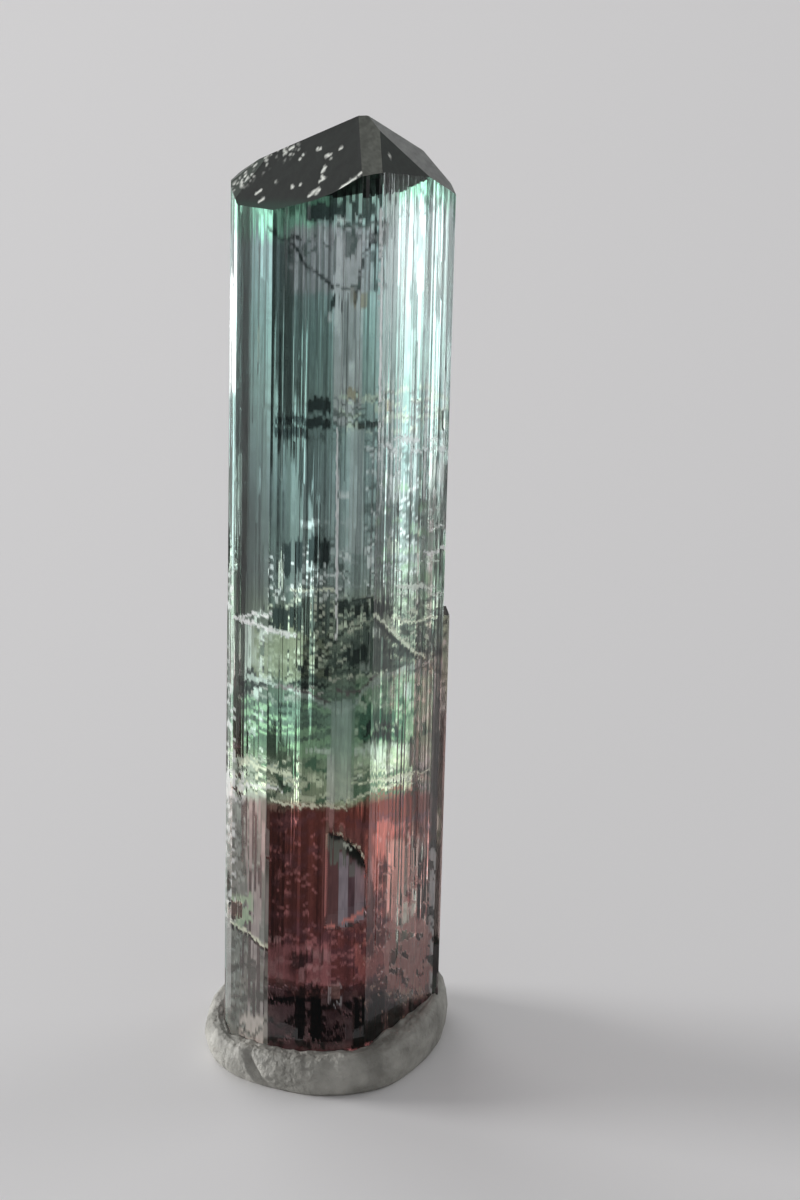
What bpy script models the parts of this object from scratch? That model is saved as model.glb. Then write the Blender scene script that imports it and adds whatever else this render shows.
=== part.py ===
"""Tourmaline crystal, a single terminated prism about 80 mm long, standing in a lump of display putty.

Metres, +Z up, the viewer looks along +Y. The origin is on the table, under the middle of the part.
The crystal is one solid: a rounded three-sided prism with lengthwise striations, capped by eight
flat faces, with a thin parallel rib grown down its right edge and a broken foot. Its ridges end in
small ledges here and there. The putty is the other solid: a pressed lump with a flat underside and
a socket that the foot stands in.
"""

import math
import random

import bmesh
import bpy
from mathutils import Matrix, Vector, geometry, noise

MM = 0.001

# Crystal, driving sizes
APEX_HEIGHT = 82.2 * MM         # tip above the table
APEX_X = 1.0 * MM               # tip to the right of the prism's middle
STAND_AT = (-0.27 * MM, -2.2 * MM)  # the crystal's own origin on the table, putty frame
LEAN = math.radians(1.3)        # the whole crystal leans to the right
FOOT_HEIGHT = 1.2 * MM          # underside above the table
SEED = 7

# The prism's outline, anticlockwise from above: millimetres right of the middle, and towards the
# viewer from the tip's axis.
OUTLINE_MM = (
    (-8.5, -2.4), (-8.45, -0.7), (-7.9, 1.3), (-5.2, 3.4), (-2.4, 4.5), (-0.8, 4.88), (1.4, 4.94),
    (2.95, 4.35), (6.4, 0.3), (8.45, -2.3), (8.1, -4.3), (6.0, -6.2), (3.0, -7.7), (-0.5, -8.3),
    (-4.0, -7.4), (-6.9, -5.1),
)
RIDGE_WIDTH = 0.42 * MM         # mean width of one striation
RIDGE_DEPTH = 0.10 * MM         # the deepest groove between two of them
LEDGES_MM = (12.4, 23.55, 36.6, 39.3, 41.8, 49.2, 54.6, 66.6)   # heights at which some ridges step back
LEDGE_SHARE = 0.35              # how many of the ridges do so at each of them
LEDGE_DEPTH = 0.06 * MM         # how far at most
LEDGE_HEIGHT = 0.02 * MM        # over what height

# Each cap face: the way it looks, in degrees to the right of the viewer's side, its dip, and how far
# above the tip its plane crosses the tip's axis, in millimetres. The cap is what lies under all of them.
CAP_FACES = {
    "left_front": (-47.9, 42.4, 0.0),
    "left_shoulder": (-61.8, 42.8, 1.14),
    "left_back": (-108.6, 43.2, 2.77),
    "back_left": (-142.7, 37.0, 0.0),
    "back": (-173.0, 43.1, 0.0),
    "right_back": (98.8, 45.5, 0.72),
    "right_front": (67.0, 50.9, 1.60),
    "front_strip": (8.6, 29.4, 0.0),
}

# The foot's broken planes, in the same way, but what lies above all of them is kept. The last value
# is the plane's height over the foot, in millimetres, on the tip's axis.
FOOT_FACES = {
    "flat": (0.0, 0.0, 0.0),
    "right_break": (70.0, -21.0, -1.1),
    "back_break": (200.0, -14.0, -0.9),
}

# The rib down the right edge: from this height to the foot, standing this proud.
RIB_TOP = 39.3 * MM
RIB_PROUD = 0.5 * MM
RIB_CORNER = 9                  # the corner of the outline that it begins at, round the back
RIB_WIDTH = 1.8 * MM
RIB_EDGE = 0.02 * MM            # how far its walls spread between the side and its face

# Chips: a place on the crystal, the chip's radii and its turn, cut by a squashed ball of few faces
CHIPS = (
    # x, y, z, then radii across, deep and high, then degrees about Z
    (-8.6, 0.6, 15.0, 0.9, 0.8, 2.2, 20.0),
    (8.5, 0.0, 58.5, 0.8, 0.7, 3.0, 30.0),
    (-8.0, -0.9, 45.5, 0.9, 0.8, 2.6, -10.0),
    (7.1, 3.1, 27.0, 1.2, 0.9, 3.2, 10.0),
    (-4.4, 5.5, 62.0, 1.3, 0.8, 3.4, 30.0),
    (0.2, 6.6, 33.0, 1.6, 0.8, 3.0, 0.0),
)

# The bite out of the front near the foot: a flat-backed recess with an arched top right corner
BITE_LOW = 14.6 * MM
BITE_HIGH = 23.3 * MM
BITE_LEFT = -0.35 * MM
BITE_RIGHT = 2.75 * MM
BITE_DEPTH = 0.42 * MM
BITE_STEPS = 8

# Putty, driving sizes
PUTTY_HEIGHT = 3.5 * MM
PUTTY_AROUND = 72
FIT_GAP = 0.3 * MM              # free space all round the foot
SOCKET_DEEP = FOOT_HEIGHT - FIT_GAP

# The putty's footprint, anticlockwise from the right: millimetres right of and behind the origin
FOOTPRINT_MM = (
    (9.1, 0.6), (9.0, 3.9), (7.2, 6.7), (3.6, 8.1), (-0.8, 8.3), (-5.2, 7.2), (-8.6, 4.4), (-9.8, 0.6),
    (-9.6, -2.9), (-8.2, -5.4), (-5.9, -7.1), (-2.4, -8.6), (0.2, -8.85), (3.0, -8.3), (5.4, -6.8),
    (8.0, -3.0),
)

# Its side, from the table up: how far past the footprint it swells, and the share of the height
PUTTY_SIDE = (
    (-0.15, 0.0), (0.12, 0.12), (0.28, 0.30), (0.32, 0.50), (0.22, 0.70), (0.05, 0.86), (-0.25, 0.97),
    (-0.7, 1.0), (-1.5, 0.96), (-3.5, 0.94),
)
LUMP_DEPTH = 0.17 * MM          # how far its lumps stand out
FOLD_DEPTH = 0.45 * MM          # the crease pressed into its left front
FOLD_BEARING = 230.5            # where the crease runs, in degrees, at half the height
FOLD_SLANT = -13.0              # how many degrees it leans over from the table to the rim


def material(name, colour, roughness, transmission=0.0):
    mat = bpy.data.materials.new(name)
    mat.use_nodes = True
    shader = mat.node_tree.nodes["Principled BSDF"]
    shader.inputs["Base Color"].default_value = (*colour, 1.0)
    shader.inputs["Roughness"].default_value = roughness
    shader.inputs["Metallic"].default_value = 0.0
    shader.inputs["Transmission Weight"].default_value = transmission
    return mat


def add_object(name, mesh_data, mat):
    mesh = bpy.data.meshes.new(name)
    mesh_data.to_mesh(mesh)
    mesh_data.free()
    mesh.materials.append(mat)
    ob = bpy.data.objects.new(name, mesh)
    bpy.context.scene.collection.objects.link(ob)
    return ob


def grown(corners, gap):
    """A closed outline, anticlockwise, with every side moved out by the gap."""
    moved = []
    for i, corner in enumerate(corners):
        before = (corner - corners[i - 1]).normalized()
        after = (corners[(i + 1) % len(corners)] - corner).normalized()
        out_before = Vector((before.y, -before.x))
        out_after = Vector((after.y, -after.x))
        middle = (out_before + out_after).normalized()
        moved.append(corner + middle * (gap / middle.dot(out_after)))
    return moved


def striated_outline():
    """Every column of the prism: its place, the way it faces, and whether the rib lies on it.

    Each side of the outline is divided into ridges of uneven width, and each ridge's edge lies a
    little inside the side, so that a groove runs between neighbours.
    """
    rng = random.Random(SEED)
    corners = [Vector((x * MM, -toward * MM)) for x, toward in OUTLINE_MM]
    rib_edges = [RIB_EDGE, RIB_WIDTH - RIB_EDGE, RIB_WIDTH]
    columns = []
    for i, start in enumerate(corners):
        end = corners[(i + 1) % len(corners)]
        along = end - start
        out = Vector((along.y, -along.x)).normalized()
        ridges = max(2, round(along.length / RIDGE_WIDTH))
        stops = sorted((k + rng.uniform(-0.3, 0.3)) * along.length / ridges for k in range(1, ridges))
        kept_flat = [0.0]
        if i == RIB_CORNER:
            kept_flat += rib_edges
            stops = [s for s in stops if min(abs(s - edge) for edge in rib_edges) > 0.1 * MM] + rib_edges
        for k, stop in enumerate([0.0] + sorted(stops)):
            depth = 0.0 if stop in kept_flat else RIDGE_DEPTH * rng.uniform(0.15, 1.0) * (k % 2)
            place = start + along * (stop / along.length) - out * depth
            columns.append((place, out, i == RIB_CORNER and 0.0 < stop < RIB_WIDTH))
    return columns


def foot_outline():
    return [place + out * (RIB_PROUD if rib else 0.0) for place, out, rib in striated_outline()]


def plane_through_axis(bearing, dip, height):
    """A plane's point and upward normal, from its bearing, dip and its height on the tip's axis."""
    turn, slope = math.radians(bearing), math.radians(dip)
    normal = Vector((math.sin(turn) * math.sin(slope), -math.cos(turn) * math.sin(slope), math.cos(slope)))
    return Vector((APEX_X, 0.0, height)), normal


def cut_flat(bm, point, normal):
    """Removes what lies beyond the plane and closes the cut with one flat face."""
    geometry = bm.verts[:] + bm.edges[:] + bm.faces[:]
    cut = bmesh.ops.bisect_plane(
        bm, geom=geometry, dist=1e-7, plane_co=point, plane_no=normal, clear_outer=True
    )
    rim = [e for e in cut["geom_cut"] if isinstance(e, bmesh.types.BMEdge) and e.is_boundary]
    if rim:
        bmesh.ops.edgeloop_fill(bm, edges=rim)


def prism(rings, heights):
    """A closed prism from rings of points, one ring at each height."""
    bm = bmesh.new()
    layers = [[bm.verts.new((p.x, p.y, z)) for p in ring] for ring, z in zip(rings, heights)]
    count = len(layers[0])
    for lower, upper in zip(layers, layers[1:]):
        for k in range(count):
            after = (k + 1) % count
            bm.faces.new((lower[k], lower[after], upper[after], upper[k]))
    bm.faces.new(layers[0][::-1])
    bm.faces.new(layers[-1])
    return bm


def stepped_rings():
    """The prism's rings of points and their heights: between two ledges every ridge runs straight up."""
    rng = random.Random(SEED + 1)
    columns = striated_outline()
    step_back = [0.0] * len(columns)
    rings = []
    heights = []
    low = 0.0
    for ledge in [z * MM for z in LEDGES_MM] + [APEX_HEIGHT + MM]:
        ring = []
        for (place, out, rib), back in zip(columns, step_back):
            proud = RIB_PROUD if rib and ledge < RIB_TOP + LEDGE_HEIGHT else 0.0
            ring.append(place + out * (proud - back))
        rings += [ring, ring]
        heights += [low, ledge - LEDGE_HEIGHT]
        low = ledge
        for k in range(len(columns)):
            if rng.random() < LEDGE_SHARE:
                step_back[k] = LEDGE_DEPTH * rng.random()
    return rings, heights


def crystal_mesh():
    bm = prism(*stepped_rings())
    for bearing, dip, lift in CAP_FACES.values():
        point, normal = plane_through_axis(bearing, dip, APEX_HEIGHT + lift * MM)
        cut_flat(bm, point, normal)
    for bearing, dip, lift in FOOT_FACES.values():
        point, normal = plane_through_axis(bearing, dip, FOOT_HEIGHT + lift * MM)
        cut_flat(bm, point, -normal)
    bmesh.ops.recalc_face_normals(bm, faces=bm.faces)
    return bm


def bite_cutter():
    """The bite's outline, seen from the front, pushed from in front of the crystal into it."""
    arch_width = BITE_RIGHT - BITE_LEFT
    arch_start = BITE_HIGH - 1.35 * arch_width
    corners = [(BITE_LEFT - 0.25 * MM, BITE_LOW), (BITE_RIGHT, BITE_LOW + 0.8 * MM), (BITE_RIGHT, arch_start)]
    for step in range(1, BITE_STEPS + 1):
        angle = 0.5 * math.pi * step / BITE_STEPS
        x = BITE_LEFT + arch_width * math.cos(angle)
        z = arch_start + (BITE_HIGH - arch_start) * math.sin(angle)
        corners.append((x, z))
    front = -(4.94 * MM) + BITE_DEPTH
    bm = bmesh.new()
    deep = [bm.verts.new((x, front + 0.30 * (x - BITE_LEFT), z)) for x, z in corners]
    near = [bm.verts.new((x, front - 3.0 * MM, z)) for x, z in corners]
    bm.faces.new(near)
    bm.faces.new(deep[::-1])
    for k in range(len(corners)):
        after = (k + 1) % len(corners)
        bm.faces.new((near[after], near[k], deep[k], deep[after]))
    bmesh.ops.recalc_face_normals(bm, faces=bm.faces)
    return bm


def chip_cutter(chip):
    x, toward, z, across, deep, high, turn = chip
    bm = bmesh.new()
    place = Matrix.Translation((x * MM, -toward * MM, z * MM))
    turned = place @ Matrix.Rotation(math.radians(turn), 4, "Z") @ Matrix.Rotation(math.radians(turn), 4, "Y")
    sized = turned @ Matrix.Diagonal((across * MM, deep * MM, high * MM, 1.0))
    bmesh.ops.create_icosphere(bm, subdivisions=2, radius=1.0, matrix=sized)
    return bm


def cut_with(ob, cutter_mesh, name):
    """A Boolean difference, kept as a modifier, with a cutter that the part leaves out."""
    mesh = bpy.data.meshes.new(name)
    cutter_mesh.to_mesh(mesh)
    cutter_mesh.free()
    cutter = bpy.data.objects.new(name, mesh)
    bpy.context.scene.collection.objects.link(cutter)
    cutter.parent = ob.parent
    cutter.hide_render = True
    cutter.display_type = "WIRE"
    modifier = ob.modifiers.new(name, "BOOLEAN")
    modifier.operation = "DIFFERENCE"
    modifier.solver = "EXACT"
    modifier.object = cutter


def crystal(stand):
    mat = material("tourmaline", (0.16, 0.30, 0.28), 0.12, transmission=0.8)
    ob = add_object("crystal", crystal_mesh(), mat)
    ob.parent = stand
    cut_with(ob, bite_cutter(), "bite_cutter")
    for i, chip in enumerate(CHIPS):
        cut_with(ob, chip_cutter(chip), f"chip_cutter_{i + 1}")
    return ob


def smooth_through(points, share):
    """A place on the closed smooth curve through the points, at a share of the way round."""
    count = len(points)
    step, along = divmod(share * count, 1.0)
    a, b, c, d = (Vector(points[(int(step) + k - 1) % count]) for k in range(4))
    bend = (2 * a - 5 * b + 4 * c - d) * along ** 2 + (3 * b - a - 3 * c + d) * along ** 3
    return 0.5 * (2 * b + (c - a) * along + bend)


def putty_rim(angle):
    """How high the lump stands at an angle, as a share: it is pressed up higher on the right."""
    return 1.0 + 0.16 * math.cos(angle - 0.5) + 0.035 * math.sin(3.0 * angle + 1.0)


def putty_mesh():
    """A lump with a flat underside, a swelling side with a crease, and a rim pressed up round the foot."""
    bm = bmesh.new()
    rings = []
    for swell, high in PUTTY_SIDE:
        ring = []
        for k in range(PUTTY_AROUND):
            foot = smooth_through(FOOTPRINT_MM, k / PUTTY_AROUND) * MM
            away = foot.normalized()
            angle = math.atan2(foot.y, foot.x)
            crease = math.radians(FOLD_BEARING + FOLD_SLANT * (high - 0.5)) - angle % (2 * math.pi)
            spot = Vector((foot.x, foot.y, PUTTY_HEIGHT * high)) / (2.6 * MM)
            lump = noise.noise(spot) + 0.5 * noise.noise(spot * 2.3)
            free = min(1.0, 4.0 * high)
            reach = swell * MM + free * LUMP_DEPTH * lump
            reach -= FOLD_DEPTH * free * math.exp(-((crease / 0.09) ** 2))
            place = foot + away * reach
            z = PUTTY_HEIGHT * high * putty_rim(angle)
            if high > 0.5:
                z += 0.8 * LUMP_DEPTH * noise.noise(spot * 1.6 + Vector((9.0, 0.0, 0.0)))
            ring.append(bm.verts.new((place.x, place.y, z)))
        rings.append(ring)
    for lower, upper in zip(rings, rings[1:]):
        for k in range(PUTTY_AROUND):
            after = (k + 1) % PUTTY_AROUND
            bm.faces.new((lower[k], lower[after], upper[after], upper[k]))
    bm.faces.new(rings[0][::-1])
    crown = bm.verts.new((0.0, 0.0, 0.94 * PUTTY_HEIGHT))
    for k in range(PUTTY_AROUND):
        bm.faces.new((rings[-1][k], rings[-1][(k + 1) % PUTTY_AROUND], crown))
    bmesh.ops.recalc_face_normals(bm, faces=bm.faces)
    for face in bm.faces:
        face.smooth = len(face.verts) < 5
    return bm


def socket_cutter():
    """A straight-walled hole round everything of the foot, the gap wider, from its floor to above the rim."""
    places = foot_outline()
    hull = [places[k] for k in geometry.convex_hull_2d(places)]
    if sum(a.cross(b) for a, b in zip(hull, hull[1:] + hull[:1])) < 0.0:
        hull.reverse()
    room = grown(hull, FIT_GAP + 0.02 * MM)
    return prism([room, room], [SOCKET_DEEP, 3.0 * PUTTY_HEIGHT])


def putty(stand):
    mat = material("putty", (0.52, 0.54, 0.50), 0.75)
    ob = add_object("putty", putty_mesh(), mat)
    cut_with(ob, socket_cutter(), "socket_cutter")
    bpy.data.objects["socket_cutter"].parent = stand
    return ob


def centre_on_origin(parts, stand):
    """Moves everything so that the middle of the part's box is over the origin."""
    bpy.context.view_layer.update()
    graph = bpy.context.evaluated_depsgraph_get()
    points = []
    for ob in parts:
        shown = ob.evaluated_get(graph)
        points += [shown.matrix_world @ v.co for v in shown.data.vertices]
    middle = Vector([(min(p[i] for p in points) + max(p[i] for p in points)) / 2 for i in (0, 1)] + [0.0])
    stand.location -= middle
    for ob in parts:
        if ob.parent is None:
            ob.location -= middle


def build():
    for ob in list(bpy.data.objects):
        bpy.data.objects.remove(ob)
    stand = bpy.data.objects.new("crystal_stand", None)
    bpy.context.scene.collection.objects.link(stand)
    stand.location = (*STAND_AT, 0.0)
    stand.rotation_euler = (0.0, LEAN, 0.0)
    parts = [crystal(stand), putty(stand)]
    centre_on_origin(parts, stand)


build()
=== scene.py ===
import math
import random

import bpy
import numpy as np
from mathutils import Matrix, Vector, geometry, noise


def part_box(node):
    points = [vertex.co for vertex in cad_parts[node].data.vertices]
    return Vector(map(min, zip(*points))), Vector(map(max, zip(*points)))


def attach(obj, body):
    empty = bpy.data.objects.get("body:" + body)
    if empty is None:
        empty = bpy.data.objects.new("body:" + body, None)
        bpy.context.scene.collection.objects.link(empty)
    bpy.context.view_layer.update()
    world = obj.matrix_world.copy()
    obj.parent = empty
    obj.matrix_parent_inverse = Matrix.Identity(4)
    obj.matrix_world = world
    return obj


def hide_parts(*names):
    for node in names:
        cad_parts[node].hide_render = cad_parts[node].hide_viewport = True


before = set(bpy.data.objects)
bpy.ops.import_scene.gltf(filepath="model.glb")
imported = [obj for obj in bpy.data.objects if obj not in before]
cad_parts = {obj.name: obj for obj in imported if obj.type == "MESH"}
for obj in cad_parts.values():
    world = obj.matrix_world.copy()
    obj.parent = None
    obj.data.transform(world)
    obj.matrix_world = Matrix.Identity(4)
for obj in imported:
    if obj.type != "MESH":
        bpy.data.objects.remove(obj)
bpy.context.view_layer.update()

MM = 0.001
SEED = 11

# The crystal's driving values, the same as the part's own, in millimetres and degrees
APEX_HEIGHT = 82.2
APEX_X = 1.0
STAND_AT = (-0.27, -2.2)
LEAN = math.radians(1.3)
FOOT_HEIGHT = 1.2
OUTLINE = (
    (-8.5, -2.4), (-8.45, -0.7), (-7.9, 1.3), (-5.2, 3.4), (-2.4, 4.5), (-0.8, 4.88), (1.4, 4.94),
    (2.95, 4.35), (6.4, 0.3), (8.45, -2.3), (8.1, -4.3), (6.0, -6.2), (3.0, -7.7), (-0.5, -8.3),
    (-4.0, -7.4), (-6.9, -5.1),
)
BACK_FROM = 9  # the outline's sides from this one on face away from the viewer
CAP_FACES = {
    "left_front": (-47.9, 42.4, 0.0),
    "left_shoulder": (-61.8, 42.8, 1.14),
    "left_back": (-108.6, 43.2, 2.77),
    "back_left": (-142.7, 37.0, 0.0),
    "back": (-173.0, 43.1, 0.0),
    "right_back": (98.8, 45.5, 0.72),
    "right_front": (67.0, 50.9, 1.60),
    "front_strip": (8.6, 29.4, 0.0),
}
RIB_TOP = 39.3
RIB_PROUD = 0.5
RIB_CORNER = 9
RIB_WIDTH = 1.8
RIB_LEDGE = 0.02  # how thick the rib's upper end is in the mesh
CHIPS = (
    # x, towards the viewer, z, then the radii across, deep and high, then degrees about Z
    (-8.6, 0.6, 15.0, 0.9, 0.8, 2.2, 20.0),
    (8.5, 0.0, 58.5, 0.8, 0.7, 3.0, 30.0),
    (-8.0, -0.9, 45.5, 0.9, 0.8, 2.6, -10.0),
    (7.1, 3.1, 27.0, 1.2, 0.9, 3.2, 10.0),
    (-4.4, 5.5, 62.0, 1.3, 0.8, 3.4, 30.0),
    (0.2, 6.6, 33.0, 1.6, 0.8, 3.0, 0.0),
)
BITE_LOW = 14.6
BITE_HIGH = 23.3
BITE_LEFT = -0.35
BITE_RIGHT = 2.75
BITE_DEPTH = 0.42
BITE_FROM = -4.94  # the front's place, where the recess is cut back from
BITE_SLANT = 0.30  # how much deeper it gets for each millimetre to the right
BITE_RISE = 0.26  # how much its floor climbs for each
BITE_ARCH = 1.35  # the height of its arch, in widths
BITE_FLOOR = 1.1  # over how much of its height it runs out at the bottom
BITE_FLOOR_SLANT = 0.15
BITE_NEARER = -3.2  # its faces all lie nearer the viewer than this
CHIP_DEEPEST = 1.4

# The mesh of striations: the narrowest strip, how much wider some are, and the deepest groove
STRIP_NARROW = 0.05
STRIP_SPREAD = 0.24
BACK_STRIPS = 2.0  # how much wider they are on the back
GROOVE = 0.085
CORNER_GROOVE = 0.2  # what is left of a groove on a corner of the outline
# How much of that depth each side of the outline has, from the left edge round the front
GROOVE_SHARES = (0.8, 0.3, 0.10, 0.14, 0.20, 0.15, 0.6, 0.6, 0.7)
BACK_SHARE = 0.35
CALM_SIDES = (2, 3, 4, 5, 6, 7, 9, 10, 11, 12, 13, 14)  # their grooves fade below a height, by a share
CALM_BELOW = 41.0
CALM_OVER = 5.0
CALM = 0.75
# Here and there a strip steps out or back, at most this far, between these heights
STEP_LARGEST = 0.022
STEP_STARTS = (3.0, 60.0)
STEP_LENGTHS = (1.0, 30.0)
STEP_TOP = 70.0
STEPPED_SIDES = (0, 6, 7, 8)
PLAIN_STEP = 0.3  # the share of it on the other sides
# Up to which height the rows of the mesh lie how far apart
ROW_GAPS = (
    (8.0, 0.30), (25.0, 0.22), (49.0, 0.19), (57.0, 0.28), (63.0, 0.18), (69.5, 0.36), (78.5, 0.24),
    (84.0, 0.30),
)
BACK_ROWS = 3  # on the back only one row in so many is kept
CAP_GAP = 0.16  # the mesh of the cap, then the places along its edges
CAP_EDGE_GAP = 0.15
CAP_REACH = 14.0
NEAR = 0.03  # what lies nearer than this counts as the same place

# Camera, measured from the coin and the crystal's edges
CAMERA_AT = (5.668, -347.702, 221.516)
CAMERA_DIP = 27.5
LENS = 150.0
FOCAL_PX = 5000.0
FRAME_MIDDLE = (400.0, 600.0)
FRONT_Y = -6.9  # how near the viewer the crystal's front lies
INNER_FALL = 3.8  # how far a ray of this view falls inside the crystal before the back

# Zones down the crystal: the photo row where each begins at the front, and the light it lets through
ZONES = (
    (188.0, 0.2, 0.34, 0.28),
    (236.0, 0.24, 0.34, 0.34),
    (330.0, 0.18, 0.3, 0.280),
    (395.0, 0.18, 0.28, 0.255),
    (480.0, 0.2, 0.29, 0.28),
    (585.0, 0.2, 0.26, 0.24),
    (612.0, 0.22, 0.28, 0.22),
    (680.0, 0.17, 0.24, 0.18),
    (712.0, 0.16, 0.27, 0.2),
    (752.0, 0.18, 0.3, 0.2),
    (780.0, 0.34, 0.44, 0.28),
    (808.0, 0.34, 0.4, 0.26),
    (809.5, 0.16, 0.045, 0.035),
    (900.0, 0.16, 0.048, 0.040),
    (975.0, 0.15, 0.045, 0.045),
    (1004.0, 0.2, 0.07, 0.07),
)
ZONE_CLIMB = ((345, 372, 430), (0, 13, 11))  # how far the zones climb at which photo columns
BACK_LOWEST = 960  # the last photo row that the back's zones reach
# How much lighter or darker each photo column is than its zone, at seven photo rows: painted light and
# shade, for how the light falls through the crystal
SIDE_COLUMNS = (226, 238, 243, 268, 285, 315, 334, 358, 372, 388, 405, 430, 446)
SIDE_SHADING = (
    (300, (3.8, 3.4, 0.46, 0.44, 0.58, 0.6, 1.1, 2, 3, 3.2, 2.6, 3.4, 3.8)),
    (380, (3, 2.6, 0.38, 0.38, 0.54, 0.6, 1.15, 1.8, 2.2, 2, 1.7, 2.6, 3.8)),
    (500, (2, 1.6, 0.15, 0.11, 0.13, 0.28, 1.2, 1.4, 1, 0.9, 0.8, 2.1, 3.6)),
    (600, (2, 1.6, 0.22, 0.13, 0.14, 0.28, 0.8, 1.2, 1.2, 1.2, 1.1, 1.2, 1.8)),
    (650, (2, 1.6, 0.5, 0.24, 0.2, 0.4, 0.45, 0.5, 0.45, 0.4, 0.4, 0.6, 1)),
    (720, (1.8, 1.2, 0.16, 0.18, 0.42, 0.66, 1.05, 0.8, 0.56, 0.8, 0.9, 0.9, 0.9)),
    (860, (2.4, 2, 1.2, 0.45, 0.42, 0.55, 0.8, 0.9, 0.65, 0.9, 1.6, 1.6, 1.2)),
)
# Photo columns and rows over which a tint or a painted highlight begins, or between which it lies and how
# softly; RIGHT_GLOW and LEFT_GLOW are painted highlights
FLANK_EDGE = (263, 268)
RED_FROM = (796, 812)
RIGHT_GLOW = (386, 470, 5)
LEFT_GLOW = (210, 238, 2)
RIB_EDGE = (428, 434)
RIB_FROM = (606, 614)
# The broken rows, where the streaks are weaker, and the share of dark and of pale ones: the streaks are
# painted shade and painted highlights, for light refracted by the striations
CALM_ROWS = (600, 800, 10)
CALM_EDGE = (262, 272)
DARK_STREAKS = 0.16
PALE_STREAKS = 0.08
STREAK = 0.7
# Lights that a place lets through
FLANK_GREY = (0.52, 0.9, 0.8)
RIB_BROWN = (0.26, 0.27, 0.27)
RIB_DARK = (0.06, 0.035, 0.035)
HIGHLIGHT_CYAN = (0.9, 1.0, 1.0)
BLACK = (0.003, 0.005, 0.005)
DARK = (0.03, 0.045, 0.04)
WHITE = (1.0, 1.0, 1.0)
EMERALD_GLOW = (0.2, 0.62, 0.36)
DEEP_GREEN = (0.02, 0.07, 0.04)
LEAF = (0.3, 0.52, 0.28)
CREAM = (0.86, 0.92, 0.7)
OLIVE = (0.13, 0.145, 0.085)
BROWN = (0.3, 0.2, 0.11)
PINKISH = (0.4, 0.35, 0.38)
SMOKE = (0.42, 0.48, 0.47)
ROSE = (0.62, 0.3, 0.33)
SALMON = (0.85, 0.3, 0.25)
PLUM = (0.1, 0.05, 0.07)

# The cap's tone for each face, with painted light and shade: the front strip and the right back face lit
# paler, the rest dark; UNSEEN for the faces not in view
UNSEEN = (0.05, 0.06, 0.05)
CAP_FACE_SHADES = {
    "left_front": (0.009, 0.012, 0.010),
    "left_shoulder": (0.020, 0.030, 0.022),
    "left_back": UNSEEN,
    "back_left": UNSEEN,
    "back": UNSEEN,
    "right_back": (0.19, 0.2, 0.19),
    "right_front": (0.018, 0.026, 0.021),
    "front_strip": (0.19, 0.2, 0.175),
}
SPECK = (0.8, 0.82, 0.76)
SPECK_SIZE = 0.76  # the painted part of a speck's pit
SPECK_PIT = 0.03  # how deep each pit is
CAP_RELIEF = 0.014
# Pale specks on the cap: half width, then the photo places that each runs between
CAP_SPECKS = (
    (2.0, 317, 149, 320, 148), (2.0, 326, 156, 330, 154), (1.3, 330, 158, 331, 157),
    (1.6, 340, 148, 342, 147), (1.4, 302, 155, 304, 153), (1.2, 300, 159, 302, 158),
    (1.8, 289, 149, 293, 147), (1.0, 283, 152, 284, 151), (2.0, 325, 167, 322, 172),
    (1.3, 321, 176, 325, 178), (1.2, 319, 181, 322, 179), (1.8, 309, 196, 313, 192),
    (2.2, 313, 192, 319, 189), (1.3, 319, 189, 316, 195), (1.4, 276, 182, 277, 181),
    (1.4, 290, 188, 293, 186), (1.2, 300, 185, 301, 183), (1.5, 255, 194, 261, 190),
    (1.5, 262, 200, 263, 198), (1.1, 258, 202, 260, 201), (1.3, 389, 154, 391, 158),
    (1.6, 338, 192, 341, 188), (1.9, 342, 187, 349, 182), (1.6, 350, 181, 355, 178),
    (1.4, 356, 177, 362, 172), (1.0, 245, 176, 247, 174), (1.0, 234, 183, 237, 181),
)
FRECKLE_LINE = ((236, 184), (250, 172), (272, 158), (292, 148))

# Where the cap ends above the prism, in the photo
CAP_LINE = (
    (228, 200), (237, 208), (270, 206), (311, 204), (332, 198), (362, 176), (384, 172), (400, 172),
    (430, 176), (455, 190),
)


def new_object(name, mesh):
    ob = bpy.data.objects.new(name, mesh)
    bpy.context.scene.collection.objects.link(ob)
    return ob


def mesh_from(name, verts, faces):
    mesh = bpy.data.meshes.new(name)
    mesh.from_pydata(verts, [], faces)
    mesh.update()
    return mesh


def drift(x, y, seed):
    """Smooth random values between 0 and 1, over a lattice of unit cells."""
    table = np.random.default_rng(seed).random(4096)
    column, row = np.floor(x).astype(np.int64), np.floor(y).astype(np.int64)
    u, v = x - column, y - row
    u, v = u * u * (3.0 - 2.0 * u), v * v * (3.0 - 2.0 * v)

    def at(i, j):
        mixed = (i * 374761393 + j * 668265263) & 0x7FFFFFFF
        mixed = ((mixed ^ (mixed >> 13)) * 1274126177) & 0x7FFFFFFF
        return table[mixed % 4096]

    lower = at(column, row) * (1.0 - u) + at(column + 1, row) * u
    upper = at(column, row + 1) * (1.0 - u) + at(column + 1, row + 1) * u
    return lower * (1.0 - v) + upper * v


# The crystal's shape

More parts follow.
